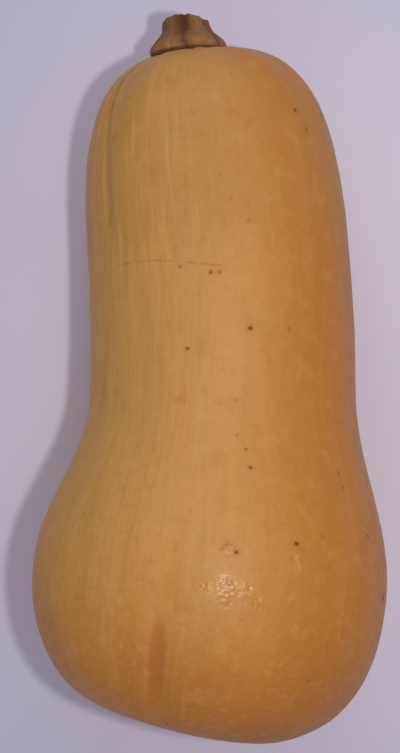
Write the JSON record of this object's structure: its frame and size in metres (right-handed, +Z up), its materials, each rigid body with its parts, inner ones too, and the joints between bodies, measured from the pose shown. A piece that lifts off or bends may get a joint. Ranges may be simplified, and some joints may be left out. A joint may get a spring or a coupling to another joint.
{
  "type": "butternut squash",
  "caption": "Whole butternut squash lying on its side: a bent, thick neck swelling into a round bulb, smooth tan skin with soft furrows, and a short ridged woody stem.",
  "frame": {"origin": "on the surface that the squash lies on, under the middle of its overall box", "axes": "+Y from the blossom end towards the stem, +Z up from the surface, +X to the side that the fruit bows towards"},
  "size_m": [0.1145, 0.2367, 0.1129],
  "materials": {
    "rind": "satin",
    "stem_wood": "matte"
  },
  "bodies": {
    "root": {"fruit": "rind", "stem": "stem_wood"}
  },
  "joints": []
}
